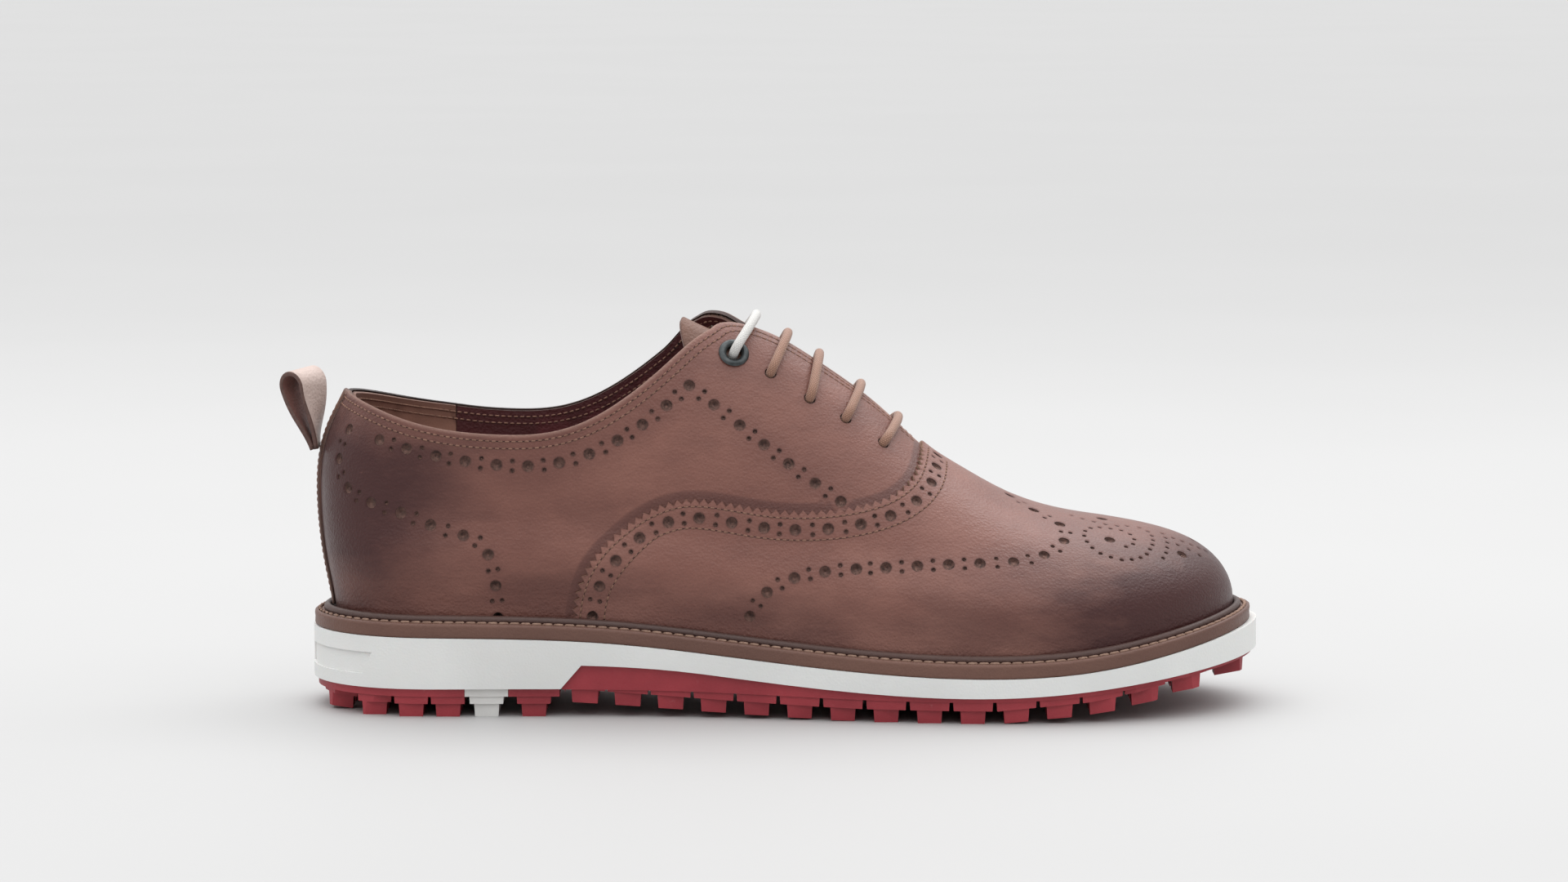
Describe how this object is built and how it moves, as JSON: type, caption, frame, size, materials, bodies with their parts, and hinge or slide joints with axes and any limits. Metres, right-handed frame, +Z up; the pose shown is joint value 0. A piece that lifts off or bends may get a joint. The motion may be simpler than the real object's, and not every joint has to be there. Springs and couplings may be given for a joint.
{
  "type": "golf shoe",
  "caption": "Lace-up leather golf shoe with brogue perforation, storm welt, white foam midsole and a red studded spikeless outsole.",
  "frame": {"origin": "on the ground, under the middle of the shoe's bounding box", "axes": "+X from heel to toe, +Y towards the medial (inner) side, +Z up"},
  "size_m": [0.3143, 0.109, 0.1275],
  "materials": {
    "red_rubber": "matte moulded rubber",
    "white_rubber": "matte moulded rubber",
    "white_foam": "matte foam with a skin",
    "welt_leather": "burnished edge, waxed",
    "welt_thread": "waxed thread",
    "cork": "granular cork",
    "spring_steel": "plain",
    "fibre_board": "pressed board",
    "footbed_foam": "open-cell foam",
    "footbed_leather": "fine smooth leather",
    "brown_leather": "burnished calf, darker at toe and heel, semi-gloss",
    "backing_cloth": "woven tape",
    "stiffener": "thermoplastic sheet",
    "red_lining": "smooth dyed lining leather",
    "brown_lining": "suede-side lining leather",
    "tongue_leather": "soft leather, pinked edge",
    "gunmetal": "dark nickel",
    "brown_cord": "waxed round cord",
    "white_cord": "light round cord",
    "aglet_plastic": "clear brown sleeve"
  },
  "bodies": {
    "shoe": {"outsole_forefoot": "red_rubber", "outsole_heel": "red_rubber", "outsole_heel_front": "red_rubber", "heel_insert": "white_rubber", "midsole": "white_foam", "welt": "welt_leather", "storm_rand": "welt_leather", "welt_stitching": "welt_thread", "bottom_filler": "cork", "shank": "spring_steel", "insole_board": "fibre_board", "sockliner_foam": "footbed_foam", "sockliner_cover": "footbed_leather", "vamp": "brown_leather", "vamp_backer": "backing_cloth", "toe_puff": "stiffener", "quarter_lateral": "brown_leather", "quarter_medial": "brown_leather", "backstrip": "brown_leather", "heel_counter": "stiffener", "eyestay_lateral": "backing_cloth", "eyestay_medial": "backing_cloth", "vamp_lining": "red_lining", "quarter_lining_lateral": "red_lining", "quarter_lining_medial": "red_lining", "heel_grip": "brown_lining", "eyelets": "gunmetal", "lace_brown": "brown_cord", "lace_white": "white_cord", "lace_aglets": "aglet_plastic"},
    "tongue": {"tongue": "tongue_leather", "tongue_lining": "red_lining"},
    "pull_tab": {"pull_tab": "brown_leather"}
  },
  "joints": [
    {"name": "tongue_hinge", "type": "hinge", "parent": "shoe", "child": "tongue", "pos_m": [0.055, 0, 0.07], "axis": [0, -1, 0], "range_deg": [0, 12], "stiffness_Nm_per_rad": 0.3, "springref_deg": -1.72},
    {"name": "pull_tab_hinge", "type": "hinge", "parent": "shoe", "child": "pull_tab", "pos_m": [-0.1484, 0, 0.0826], "axis": [0, -1, 0], "range_deg": [-12, 60], "stiffness_Nm_per_rad": 0.02}
  ]
}
